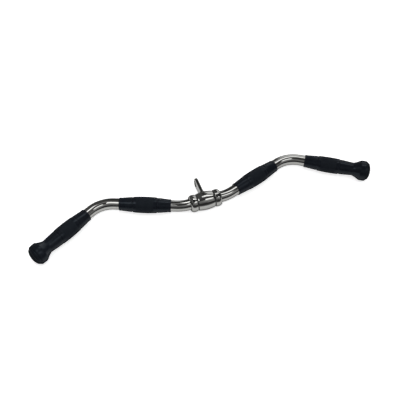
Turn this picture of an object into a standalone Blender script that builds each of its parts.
"""EZ cable bar: a chromed steel bar bent into a shallow W, with rubber grips and a swivelling eye.

Metres, +Z up. The bar lies flat with its two end knobs on Z = 0. Its straight middle runs along X,
the two inner grips lead away to +Y, and the eye of the swivel points to +Y with its rim just above Z = 0.
"""

import math

import bmesh
import bpy
from mathutils import Matrix, Vector

MM = 0.001

# Fit between any two pieces that touch
FIT_GAP = 0.3 * MM

# Bar: straight middle, inner bend, inner grip, outer bend, outer grip
BAR_RADIUS = 12.7 * MM  # a 1 inch bar
BAR_END_CHAMFER = 1.5 * MM
INNER_ARM_ANGLE = math.radians(20.25)  # the inner arm's heading, from X towards +Y
OUTER_ARM_ANGLE = math.radians(30.6)  # the outer arm's heading, from X towards -Y
INNER_BEND_RADIUS = 78 * MM
OUTER_BEND_RADIUS = 63 * MM
COLLAR_TO_BEND = 2.5 * MM
BEND_TO_INNER_GRIP = 11.8 * MM
INNER_GRIP_TO_BEND = 11.4 * MM
BEND_TO_OUTER_GRIP = 12.5 * MM

# Rubber grips
INNER_GRIP_LENGTH = 115.4 * MM
OUTER_GRIP_LENGTH = 111.8 * MM  # up to the neck of the knob
GRIP_END_WALL = 0.9 * MM
GRIP_NECK_WALL = 1.9 * MM
INNER_GRIP_SWELL = 4 * MM
OUTER_GRIP_SWELL = 3.4 * MM
LIP_LENGTH = 4 * MM
LIP_RISE = 0.4 * MM
LIP_ROUND = 0.8 * MM
GROOVE_AT = 30 * MM  # from each end of the grip to the middle of its groove
GROOVE_WIDTH = 3 * MM
GROOVE_DEPTH = 0.8 * MM
PANEL_RISE = 0.5 * MM
PANEL_EDGE = 1.2 * MM

# Knob that closes each outer grip
KNOB_RADIUS = 23.2 * MM
KNOB_CROWN = 0.2 * MM  # how much its band swells above its crease
KNOB_FLARE_LENGTH = 17.8 * MM
KNOB_FLARE_CURVE = 1.35  # 1 is a plain cone, more is hollower
KNOB_BAND_LENGTH = 11 * MM
KNOB_SHOULDER = 5 * MM
KNOB_SHOULDER_TURN = 70  # degrees
KNOB_DOME_LENGTH = 12.6 * MM
KNOB_END_WALL = 13.4 * MM  # rubber beyond the bar's end

# Swivel sleeve
SLEEVE_LENGTH = 37.6 * MM
SLEEVE_END_WALL = 3.1 * MM
SLEEVE_MID_WALL = 5.3 * MM
SLEEVE_EDGE_ROUND = 1 * MM

# Flanged bushes, one pressed into each end of the sleeve
BUSH_WALL = 2.4 * MM
BUSH_SPACE = 8 * MM  # left between the two bushes inside the sleeve
FLANGE_THICKNESS = 1.6 * MM
FLANGE_RECESS = 1.2 * MM  # how far the flange stays inside the sleeve's end
BUSH_CHAMFER = 0.5 * MM

# Collars that hold the sleeve in place along the bar
COLLAR_LENGTH = 15 * MM
COLLAR_INNER_WALL = 6 * MM
COLLAR_PEAK_WALL = 6.7 * MM
COLLAR_OUTER_WALL = 1.2 * MM
COLLAR_NOSE_FULLNESS = 1.8  # 1 is a cone, 2 a quarter of an ellipse
COLLAR_PEAK_AT = 7.5 * MM
COLLAR_EDGE_CHAMFER = 0.8 * MM

# Grub screws, one in each collar
SCREW_RADIUS = 3 * MM
SCREW_HEAD_DEPTH = 0.8 * MM  # its top lies this far under the collar's surface
SCREW_CHAMFER = 0.5 * MM
SCREW_TIP_RADIUS = 1.8 * MM
SCREW_TIP_LENGTH = 0.9 * MM
SOCKET_ACROSS_FLATS = 3 * MM
SOCKET_DEPTH = 2.4 * MM
SCREW_LEAN = math.radians(22)  # from straight up towards -Y

# Eye lug, forged in one with the sleeve
LUG_REACH = 61.4 * MM  # from the bar's axis to the middle of the eye
LUG_THICKNESS = 7.6 * MM
LUG_HALF_WIDTH = 10.6 * MM  # at its neck
EYE_HOLE_RADIUS = 7.7 * MM
EYE_HOLE_CHAMFER = 0.8 * MM
EYE_WALL = 5 * MM
LUG_SIDE_FILLET = 8 * MM  # where its edges meet the sleeve
LUG_ROOT_FILLET = 6.5 * MM  # where its faces meet the sleeve
LUG_RIM_ROUND = 1.6 * MM
LUG_SINK = 3.7 * MM  # how deep its foot runs into the sleeve's bore before that is cut

# What follows from the sizes above
BORE_RADIUS = BAR_RADIUS + FIT_GAP  # of everything that slides onto the bar
GRIP_END_RADIUS = BORE_RADIUS + GRIP_END_WALL
GRIP_NECK_RADIUS = BORE_RADIUS + GRIP_NECK_WALL
KNOB_LENGTH = KNOB_FLARE_LENGTH + KNOB_BAND_LENGTH + KNOB_DOME_LENGTH
BUSH_RADIUS = BORE_RADIUS + BUSH_WALL
SLEEVE_BORE_RADIUS = BUSH_RADIUS + FIT_GAP
SLEEVE_END_RADIUS = SLEEVE_BORE_RADIUS + SLEEVE_END_WALL
SLEEVE_MID_RADIUS = SLEEVE_BORE_RADIUS + SLEEVE_MID_WALL
BUSH_LENGTH = (SLEEVE_LENGTH - BUSH_SPACE) / 2
BUSH_SEAT = SLEEVE_LENGTH / 2 + FIT_GAP
COLLAR_START = BUSH_SEAT + FLANGE_THICKNESS + FIT_GAP
COLLAR_PEAK_RADIUS = BORE_RADIUS + COLLAR_PEAK_WALL
COLLAR_OUTER_RADIUS = BORE_RADIUS + COLLAR_OUTER_WALL
SCREW_PLACE = COLLAR_LENGTH / 2  # along the collar from its inner face
EYE_OUTER_RADIUS = EYE_HOLE_RADIUS + EYE_WALL
AXIS_HEIGHT = max(KNOB_RADIUS, SLEEVE_MID_RADIUS)

# Facets
BAR_SIDES = 32
BEND_STEP = math.radians(6)
GRIP_SIDES = 28
PANEL_STEPS = 6
KNOB_STEPS = 4
SHOULDER_STEPS = 3
SLEEVE_SIDES = 48
BARREL_STEPS = 10
COLLAR_SIDES = 32
NOSE_STEPS = 6
BUSH_SIDES = 24
SCREW_SIDES = 16
HOLE_SIDES = 32
LUG_FILLET_STEPS = 5
LUG_NECK_STEPS = 4
EYE_STEPS = 8
LUG_COLUMNS = 3
RIM_STEPS = 2
SHARP_EDGE = math.radians(35)


def material(name, colour, metallic, roughness):
    mat = bpy.data.materials.new(name)
    mat.use_nodes = True
    shader = mat.node_tree.nodes["Principled BSDF"]
    shader.inputs["Base Color"].default_value = (*colour, 1.0)
    shader.inputs["Metallic"].default_value = metallic
    shader.inputs["Roughness"].default_value = roughness
    mat.diffuse_color = (*colour, 1.0)
    return mat


def chrome(name):
    return material(name, (0.62, 0.62, 0.61), 1.0, 0.08)


def rubber(name):
    return material(name, (0.007, 0.009, 0.012), 0.0, 0.55)


def acetal(name):
    return material(name, (0.03, 0.03, 0.032), 0.0, 0.45)


def black_steel(name):
    return material(name, (0.04, 0.04, 0.042), 1.0, 0.35)


# Modelling helpers


def object_from(bm, name, mat):
    """Turns a bmesh into a named object with outward faces, shaded smooth but for its sharp edges."""
    bmesh.ops.recalc_face_normals(bm, faces=bm.faces)
    mesh = bpy.data.meshes.new(name)
    bm.to_mesh(mesh)
    bm.free()
    mesh.materials.append(mat)
    mesh.shade_smooth()
    mesh.set_sharp_from_angle(angle=SHARP_EDGE)
    obj = bpy.data.objects.new(name, mesh)
    bpy.context.collection.objects.link(obj)
    return obj


def turned_bmesh(profile, sides, closed):
    """Spins (x, radius) points about the X axis; a profile that isn't closed starts and ends on the axis."""
    bm = bmesh.new()
    verts = [bm.verts.new((x, 0, radius)) for x, radius in profile]
    pairs = list(zip(verts, verts[1:]))
    if closed:
        pairs.append((verts[-1], verts[0]))
    edges = [bm.edges.new(pair) for pair in pairs]
    bmesh.ops.spin(
        bm, geom=verts + edges, cent=(0, 0, 0), axis=(1, 0, 0), angle=math.tau, steps=sides, use_merge=True
    )
    bmesh.ops.remove_doubles(bm, verts=bm.verts, dist=0.001 * MM)
    bmesh.ops.recalc_face_normals(bm, faces=bm.faces)
    return bm


def turned_ring(name, profile, sides, mat):
    return object_from(turned_bmesh(profile, sides, closed=True), name, mat)


def turned_solid(name, profile, sides, mat):
    return object_from(turned_bmesh(profile, sides, closed=False), name, mat)


def rod_bmesh(start, end, radius, sides):
    """A plain rod along X, for cutting holes."""
    return turned_bmesh([(start, 0), (start, radius), (end, radius), (end, 0)], sides, closed=False)


def arc(centre, radius, start, end, steps):
    """Points of a circular arc, with its angles in degrees from the first axis."""
    points = []
    for i in range(steps + 1):
        angle = math.radians(start + (end - start) * i / steps)
        points.append((centre[0] + radius * math.cos(angle), centre[1] + radius * math.sin(angle)))
    return points


def combine(target, bm, name, operation):
    """Joins a closed bmesh to an object, or cuts it out, with a Boolean whose tool stays hidden."""
    bmesh.ops.recalc_face_normals(bm, faces=bm.faces)
    mesh = bpy.data.meshes.new(name)
    bm.to_mesh(mesh)
    bm.free()
    tool = bpy.data.objects.new(name, mesh)
    bpy.context.collection.objects.link(tool)
    tool.hide_render = True
    tool.display_type = "WIRE"
    tool.parent = target
    modifier = target.modifiers.new(name, "BOOLEAN")
    modifier.operation = operation
    modifier.solver = "EXACT"
    modifier.object = tool


# Bar


def heading(angle):
    return Vector((math.cos(angle), math.sin(angle), 0))


def corner_points():
    """The points of the bar's right half where its straight lines would cross, bends left out."""
    inner_tangent = INNER_BEND_RADIUS * math.tan(INNER_ARM_ANGLE / 2)
    outer_tangent = OUTER_BEND_RADIUS * math.tan((INNER_ARM_ANGLE + OUTER_ARM_ANGLE) / 2)
    inner = Vector((COLLAR_START + COLLAR_LENGTH + COLLAR_TO_BEND + inner_tangent, 0, 0))
    straight = BEND_TO_INNER_GRIP + INNER_GRIP_LENGTH + INNER_GRIP_TO_BEND
    outer = inner + heading(INNER_ARM_ANGLE) * (inner_tangent + straight + outer_tangent)
    return inner, outer


def bend(corner, before, after, radius):
    """Stations (point, heading) round a bend that replaces a corner of the line."""
    turn = after - before
    side = 1 if turn > 0 else -1
    start = corner - heading(before) * radius * math.tan(abs(turn) / 2)
    centre = start + heading(before + side * math.pi / 2) * radius
    steps = math.ceil(abs(turn) / BEND_STEP)
    stations = []
    for i in range(steps + 1):
        angle = before + turn * i / steps
        stations.append((centre + heading(angle - side * math.pi / 2) * radius, angle))
    return stations


def grip_starts():
    """Where each grip of the right half begins: its point on the bar's axis and its heading."""
    inner, outer = corner_points()
    inner_bend_end = bend(inner, 0, INNER_ARM_ANGLE, INNER_BEND_RADIUS)[-1][0]
    outer_bend_end = bend(outer, INNER_ARM_ANGLE, -OUTER_ARM_ANGLE, OUTER_BEND_RADIUS)[-1][0]
    inner_start = inner_bend_end + heading(INNER_ARM_ANGLE) * BEND_TO_INNER_GRIP
    outer_start = outer_bend_end + heading(-OUTER_ARM_ANGLE) * BEND_TO_OUTER_GRIP
    return (inner_start, INNER_ARM_ANGLE), (outer_start, -OUTER_ARM_ANGLE)


def right_half_line():
    """Stations (point, heading, radius) from the inner bend to the bar's right end."""
    inner, outer = corner_points()
    stations = bend(inner, 0, INNER_ARM_ANGLE, INNER_BEND_RADIUS)
    stations += bend(outer, INNER_ARM_ANGLE, -OUTER_ARM_ANGLE, OUTER_BEND_RADIUS)
    line = [(point, angle, BAR_RADIUS) for point, angle in stations]
    grip_start, angle = grip_starts()[1]
    end = grip_start + heading(angle) * (OUTER_GRIP_LENGTH + KNOB_LENGTH - KNOB_END_WALL)
    line.append((end - heading(angle) * BAR_END_CHAMFER, angle, BAR_RADIUS))
    line.append((end, angle, BAR_RADIUS - BAR_END_CHAMFER))
    return line


def swept(name, line, sides, mat):
    """A round bar swept along stations, with flat ends."""
    bm = bmesh.new()
    rings = []
    for point, angle, radius in line:
        across = heading(angle + math.pi / 2)
        ring = []
        for i in range(sides):
            turn = math.tau * i / sides
            offset = across * math.cos(turn) + Vector((0, 0, 1)) * math.sin(turn)
            ring.append(bm.verts.new(point + offset * radius))
        rings.append(ring)
    for ring, following in zip(rings, rings[1:]):
        for i in range(sides):
            j = (i + 1) % sides
            bm.faces.new((ring[i], ring[j], following[j], following[i]))
    bm.faces.new(rings[0])
    bm.faces.new(rings[-1])
    return object_from(bm, name, mat)


def make_bar():
    right = right_half_line()
    left = [(Vector((-point.x, point.y, 0)), -angle, radius) for point, angle, radius in reversed(right)]
    return swept("bar", left + right, BAR_SIDES, chrome("bar_chrome"))


# Grips


def grip_profile(length, end_radius, swell, lip_at_end):
    """Outside of a grip, from its inner rim at x = 0 to its other end."""

    def at(along, rise=0.0):
        """A point of the barrel form, which is fullest in the middle, raised by a step."""
        part = along / length
        straight = GRIP_END_RADIUS + (end_radius - GRIP_END_RADIUS) * part
        return along, straight + swell * math.sin(math.pi * part) + rise

    near_edge = GROOVE_AT - GROOVE_WIDTH / 2
    far_edge = GROOVE_AT + GROOVE_WIDTH / 2
    half_waist = [
        ((LIP_LENGTH + GROOVE_AT) / 2, 0),
        (near_edge, 0),
        (near_edge + GROOVE_DEPTH, -GROOVE_DEPTH),
        (far_edge - GROOVE_DEPTH, -GROOVE_DEPTH),
        (far_edge, 0),
    ]
    panel_start = far_edge + PANEL_EDGE
    profile = [
        (0, GRIP_END_RADIUS + LIP_RISE - LIP_ROUND),
        (LIP_ROUND, GRIP_END_RADIUS + LIP_RISE),
        at(LIP_LENGTH, LIP_RISE),
        at(LIP_LENGTH + LIP_RISE),
    ]
    profile += [at(along, rise) for along, rise in half_waist]
    for i in range(PANEL_STEPS + 1):
        profile.append(at(panel_start + (length - 2 * panel_start) * i / PANEL_STEPS, PANEL_RISE))
    profile += [at(length - along, rise) for along, rise in reversed(half_waist)]
    if lip_at_end:
        profile += [
            at(length - LIP_LENGTH - LIP_RISE),
            at(length - LIP_LENGTH, LIP_RISE),
            (length - LIP_ROUND, end_radius + LIP_RISE),
            (length, end_radius + LIP_RISE - LIP_ROUND),
        ]
    return profile


def knob_profile():
    """Outside of the knob from the neck to its tip on the axis: hollow flare, crease, band, shoulder, dome."""
    crease = OUTER_GRIP_LENGTH + KNOB_FLARE_LENGTH
    band_end = crease + KNOB_BAND_LENGTH
    tip = OUTER_GRIP_LENGTH + KNOB_LENGTH
    crease_radius = KNOB_RADIUS - KNOB_CROWN
    points = [(OUTER_GRIP_LENGTH, GRIP_NECK_RADIUS)]
    for i in range(1, KNOB_STEPS + 1):
        part = i / KNOB_STEPS
        radius = GRIP_NECK_RADIUS + (crease_radius - GRIP_NECK_RADIUS) * part**KNOB_FLARE_CURVE
        points.append((OUTER_GRIP_LENGTH + KNOB_FLARE_LENGTH * part, radius))
    points.append((crease + KNOB_BAND_LENGTH / 2, KNOB_RADIUS))
    shoulder = (band_end, crease_radius - KNOB_SHOULDER)
    points += arc(shoulder, KNOB_SHOULDER, 90, 90 - KNOB_SHOULDER_TURN, SHOULDER_STEPS)
    dome_start, dome_radius = points[-1]
    for i in range(1, KNOB_STEPS):
        turn = math.pi / 2 * i / KNOB_STEPS
        points.append((dome_start + (tip - dome_start) * math.sin(turn), dome_radius * math.cos(turn)))
    return points + [(tip, 0)]


def inner_grip_profile():
    outside = grip_profile(INNER_GRIP_LENGTH, GRIP_END_RADIUS, INNER_GRIP_SWELL, lip_at_end=True)
    return outside + [(INNER_GRIP_LENGTH, BORE_RADIUS), (0, BORE_RADIUS)]


def outer_grip_profile():
    """The blind bore for the bar's end first, then the outside of grip and knob."""
    outside = grip_profile(OUTER_GRIP_LENGTH, GRIP_NECK_RADIUS, OUTER_GRIP_SWELL, lip_at_end=False)
    bottom = OUTER_GRIP_LENGTH + KNOB_LENGTH - KNOB_END_WALL + FIT_GAP
    bore = [
        (bottom, 0),
        (bottom, BORE_RADIUS - BAR_END_CHAMFER),
        (bottom - BAR_END_CHAMFER, BORE_RADIUS),
        (0, BORE_RADIUS),
    ]
    return bore + outside + knob_profile()


def place_on_arm(obj, start, side):
    """Puts a piece that is turned about X on the right arm, or mirrored on the left arm."""
    point, angle = start
    obj.location = (side * point.x, point.y, 0)
    obj.rotation_euler = (0, 0, angle if side > 0 else math.pi - angle)


def make_grips():
    inner_start, outer_start = grip_starts()
    grips = []
    for side, word in ((-1, "left"), (1, "right")):
        inner_rubber = rubber(f"inner_{word}_rubber")
        grip = turned_ring(f"inner_grip_{word}", inner_grip_profile(), GRIP_SIDES, inner_rubber)
        place_on_arm(grip, inner_start, side)
        grips.append(grip)
        outer_rubber = rubber(f"outer_{word}_rubber")
        grip = turned_solid(f"outer_grip_{word}", outer_grip_profile(), GRIP_SIDES, outer_rubber)
        place_on_arm(grip, outer_start, side)
        grips.append(grip)
    return grips


# Swivel sleeve with its eye lug


def sleeve_radius(x):
    """The sleeve is barrel-shaped, fullest at x = 0."""
    fullness = math.cos(math.pi * x / SLEEVE_LENGTH)
    return SLEEVE_END_RADIUS + (SLEEVE_MID_RADIUS - SLEEVE_END_RADIUS) * fullness


def barrel_profile():
    """The sleeve's outside, closed on the axis so that the lug can join it before it is bored."""
    half = SLEEVE_LENGTH / 2
    rounded = half - SLEEVE_EDGE_ROUND
    points = [(-half, 0), (-half, SLEEVE_END_RADIUS - SLEEVE_EDGE_ROUND)]
    for i in range(BARREL_STEPS + 1):
        x = -rounded + 2 * rounded * i / BARREL_STEPS
        points.append((x, sleeve_radius(x)))
    return points + [(half, SLEEVE_END_RADIUS - SLEEVE_EDGE_ROUND), (half, 0)]


def lug_outline():
    """(reach, half width) points of one edge of the lug: foot, fillet off the barrel, neck, round eye."""
    barrel = SLEEVE_MID_RADIUS - FIT_GAP
    fillet_width = LUG_HALF_WIDTH + LUG_SIDE_FILLET
    fillet_reach = math.sqrt((barrel + LUG_SIDE_FILLET) ** 2 - fillet_width**2)
    lean = math.degrees(math.atan2(fillet_width, fillet_reach))
    foot = (SLEEVE_BORE_RADIUS - LUG_SINK, LUG_HALF_WIDTH - LUG_RIM_ROUND)
    points = [foot] + arc((fillet_reach, fillet_width), LUG_SIDE_FILLET, 180 + lean, 270, LUG_FILLET_STEPS)
    for i in range(1, LUG_NECK_STEPS):
        part = i / LUG_NECK_STEPS
        ease = (3 - 2 * part) * part * part
        reach = fillet_reach + (LUG_REACH - fillet_reach) * part
        points.append((reach, LUG_HALF_WIDTH + (EYE_OUTER_RADIUS - LUG_HALF_WIDTH) * ease))
    return points + arc((LUG_REACH, 0), EYE_OUTER_RADIUS, 90, 0, EYE_STEPS)


def inward(points, depth):
    """Moves an outline inwards, square to its own line; its foot keeps its reach, its tip the middle."""
    foot_reach, foot_width = points[0]
    moved = [(foot_reach, foot_width - depth)]
    last = len(points) - 1
    for i in range(1, last + 1):
        reach, width = points[i]
        before = points[max(i - 1, 1)]
        after = points[i + 1] if i < last else (before[0], -before[1])
        along = (Vector(after) - Vector(before)).normalized()
        moved.append((reach + along.y * depth, width - along.x * depth))
    return moved


def root_flare(reach, across):
    """How much the root fillet adds to the lug's half thickness at a point of its face."""
    flank = LUG_THICKNESS / 2 + LUG_ROOT_FILLET
    height = math.hypot(reach, across) - (sleeve_radius(flank) - FIT_GAP)
    below = LUG_ROOT_FILLET - max(height, 0)
    if below <= 0:
        return 0.0
    return LUG_ROOT_FILLET - math.sqrt(LUG_ROOT_FILLET**2 - below**2)


def lug_vertex(bm, reach, across, x):
    return bm.verts.new((x + math.copysign(root_flare(reach, across), x), reach, across))


def lug_ring(bm, points, x):
    """Vertices up one edge of the lug from foot to tip and back down its other edge."""
    there = [lug_vertex(bm, reach, width, x) for reach, width in points]
    back = [lug_vertex(bm, reach, -width, x) for reach, width in points[:-1]]
    return there + back[::-1]


def close_lug_face(bm, ring, x):
    """Fills a face of the lug inside its ring, finely enough for the root fillet; gives back its foot."""
    last = len(ring) // 2
    rungs = []
    for i in range(last):
        high, low = ring[i], ring[-1 - i]
        rung = [low]
        for j in range(1, LUG_COLUMNS + 1):
            across = low.co.z + (high.co.z - low.co.z) * j / (LUG_COLUMNS + 1)
            rung.append(lug_vertex(bm, low.co.y, across, x))
        rungs.append(rung + [high])
    for rung, following in zip(rungs, rungs[1:]):
        for j in range(LUG_COLUMNS + 1):
            bm.faces.new((rung[j], rung[j + 1], following[j + 1], following[j]))
    for j in range(LUG_COLUMNS + 1):
        bm.faces.new((rungs[-1][j], rungs[-1][j + 1], ring[last]))
    return rungs[0]


def lug_bmesh():
    """The lug along +Y: flat faces to both sides of X, a rounded rim, and a root that flares out."""
    bm = bmesh.new()
    outline = lug_outline()
    half = LUG_THICKNESS / 2
    levels = []
    for i in range(RIM_STEPS + 1):
        turn = math.pi / 2 * i / RIM_STEPS
        points = inward(outline, LUG_RIM_ROUND * (1 - math.sin(turn)))
        levels.append((points, half - LUG_RIM_ROUND * (1 - math.cos(turn))))
    rings = [lug_ring(bm, points, x) for points, x in levels]
    rings += [lug_ring(bm, points, -x) for points, x in reversed(levels)]
    for ring, following in zip(rings, rings[1:]):
        for i in range(len(ring) - 1):
            bm.faces.new((ring[i], ring[i + 1], following[i + 1], following[i]))
    right_foot = close_lug_face(bm, rings[0], half)
    left_foot = close_lug_face(bm, rings[-1], -half)
    rim_there = [ring[0] for ring in rings[1:-1]]
    rim_back = [ring[-1] for ring in rings[1:-1]]
    bm.faces.new(right_foot + rim_there + left_foot[::-1] + rim_back[::-1])
    return bm


def eye_bmesh():
    """Cutter for the eye's hole, with a chamfer to each face of the lug."""
    beyond = SLEEVE_LENGTH
    clear = LUG_THICKNESS / 2 + EYE_HOLE_CHAMFER
    straight = LUG_THICKNESS / 2 - EYE_HOLE_CHAMFER
    wide = EYE_HOLE_RADIUS + 2 * EYE_HOLE_CHAMFER
    profile = [(straight, EYE_HOLE_RADIUS), (clear, wide), (beyond, wide), (beyond, 0)]
    mirrored = [(-x, radius) for x, radius in reversed(profile)]
    bm = turned_bmesh(mirrored + profile, HOLE_SIDES, closed=False)
    bmesh.ops.translate(bm, vec=(0, LUG_REACH, 0), verts=bm.verts)
    return bm


def make_sleeve():
    sleeve = turned_solid("swivel_sleeve", barrel_profile(), SLEEVE_SIDES, chrome("swivel_chrome"))
    combine(sleeve, lug_bmesh(), "eye_lug", "UNION")
    combine(sleeve, eye_bmesh(), "eye_hole", "DIFFERENCE")
    bore = rod_bmesh(-SLEEVE_LENGTH, SLEEVE_LENGTH, SLEEVE_BORE_RADIUS, SLEEVE_SIDES)
    combine(sleeve, bore, "sleeve_bore", "DIFFERENCE")
    return sleeve


def bush_profile():
    """Flange outside x = 0, tube to +x."""
    flange_radius = SLEEVE_END_RADIUS - FLANGE_RECESS
    return [
        (-FLANGE_THICKNESS, BORE_RADIUS),
        (-FLANGE_THICKNESS, flange_radius - BUSH_CHAMFER),
        (BUSH_CHAMFER - FLANGE_THICKNESS, flange_radius),
        (0, flange_radius),
        (0, BUSH_RADIUS),
        (BUSH_LENGTH - BUSH_CHAMFER, BUSH_RADIUS),
        (BUSH_LENGTH, BUSH_RADIUS - BUSH_CHAMFER),
        (BUSH_LENGTH, BORE_RADIUS),
    ]


def make_bushes():
    bushes = []
    for side, word in ((-1, "left"), (1, "right")):
        bush = turned_ring(f"bush_{word}", bush_profile(), BUSH_SIDES, acetal(f"bush_{word}_acetal"))
        bush.location = (side * BUSH_SEAT, 0, 0)
        bush.rotation_euler = (0, 0, 0 if side < 0 else math.pi)
        bushes.append(bush)
    return bushes


# Collars and their screws


def nose_radius(x):
    """Radius of the collar's round nose, from its peak down to the bar."""
    part = (x - COLLAR_PEAK_AT) / (COLLAR_LENGTH - COLLAR_PEAK_AT)
    height = (1 - part**COLLAR_NOSE_FULLNESS) ** (1 / COLLAR_NOSE_FULLNESS)
    return COLLAR_OUTER_RADIUS + (COLLAR_PEAK_RADIUS - COLLAR_OUTER_RADIUS) * height


def collar_profile():
    """A bell-shaped ring: full next to the sleeve at x = 0, falling in a round nose to the bar."""
    inner_radius = BORE_RADIUS + COLLAR_INNER_WALL
    rise = COLLAR_PEAK_RADIUS - inner_radius
    points = [(0, BORE_RADIUS), (0, inner_radius - COLLAR_EDGE_CHAMFER), (COLLAR_EDGE_CHAMFER, inner_radius)]
    points.append((COLLAR_PEAK_AT / 2, inner_radius + rise * math.sin(math.pi / 4)))
    for i in range(NOSE_STEPS):
        x = COLLAR_PEAK_AT + (COLLAR_LENGTH - COLLAR_PEAK_AT) * math.sin(math.pi / 2 * i / NOSE_STEPS)
        points.append((x, nose_radius(x)))
    return points + [(COLLAR_LENGTH, COLLAR_OUTER_RADIUS), (COLLAR_LENGTH, BORE_RADIUS)]


def leaning(lean):
    """Turns a piece that was made along X to stand up in Z, leaning over towards -Y."""
    return Matrix.Rotation(lean, 4, "X") @ Matrix.Rotation(-math.pi / 2, 4, "Y")


def make_collars():
    collars = []
    for side, word in ((-1, "left"), (1, "right")):
        collar = turned_ring(f"collar_{word}", collar_profile(), COLLAR_SIDES, chrome(f"collar_{word}_chrome"))
        collar.location = (side * COLLAR_START, 0, 0)
        collar.rotation_euler = (0, 0, 0 if side > 0 else math.pi)
        hole = rod_bmesh(0, 2 * COLLAR_PEAK_RADIUS, SCREW_RADIUS + FIT_GAP, SCREW_SIDES)
        place = Matrix.Translation((SCREW_PLACE, 0, 0)) @ leaning(SCREW_LEAN * side)
        bmesh.ops.transform(hole, matrix=place, verts=hole.verts)
        combine(collar, hole, f"screw_hole_{word}", "DIFFERENCE")
        collars.append(collar)
    return collars


def screw_profile(top):
    """A grub screw along x, from its tip at the bar to its socket end."""
    return [
        (BORE_RADIUS, 0),
        (BORE_RADIUS, SCREW_TIP_RADIUS),
        (BORE_RADIUS + SCREW_TIP_LENGTH, SCREW_RADIUS),
        (top - SCREW_CHAMFER, SCREW_RADIUS),
        (top, SCREW_RADIUS - SCREW_CHAMFER),
        (top, 0),
    ]


def make_screws():
    screws = []
    top = nose_radius(SCREW_PLACE) - SCREW_HEAD_DEPTH
    for side, word in ((-1, "left"), (1, "right")):
        steel = black_steel(f"screw_{word}_steel")
        screw = turned_solid(f"grub_screw_{word}", screw_profile(top), SCREW_SIDES, steel)
        screw.location = (side * (COLLAR_START + SCREW_PLACE), 0, 0)
        screw.rotation_euler = leaning(SCREW_LEAN).to_euler()
        socket = rod_bmesh(top - SOCKET_DEPTH, 2 * top, SOCKET_ACROSS_FLATS / math.sqrt(3), 6)
        combine(screw, socket, f"socket_{word}", "DIFFERENCE")
        screws.append(screw)
    return screws


# Assembly


def middle_y(objects):
    """Half way between the lowest and highest Y of the finished meshes."""
    bpy.context.view_layer.update()
    graph = bpy.context.evaluated_depsgraph_get()
    values = []
    for obj in objects:
        mesh = obj.evaluated_get(graph).to_mesh()
        values += [(obj.matrix_world @ vertex.co).y for vertex in mesh.vertices]
    return (min(values) + max(values)) / 2


def eye_droop():
    """Angle below level at which the eye's rim hangs just above what the knobs stand on."""
    return math.asin((AXIS_HEIGHT - EYE_OUTER_RADIUS - FIT_GAP) / LUG_REACH)


def main():
    for obj in list(bpy.data.objects):
        bpy.data.objects.remove(obj, do_unlink=True)
    frame = bpy.data.objects.new("frame", None)
    swivel = bpy.data.objects.new("swivel", None)
    for empty in (frame, swivel):
        bpy.context.collection.objects.link(empty)
    swivel.parent = frame
    fixed = [make_bar()] + make_grips() + make_collars() + make_screws()
    turning = [make_sleeve()] + make_bushes()
    for obj in fixed:
        obj.parent = frame
    for obj in turning:
        obj.parent = swivel
    swivel.rotation_euler = (-eye_droop(), 0, 0)
    frame.location = (0, -middle_y(fixed + turning), AXIS_HEIGHT)


main()
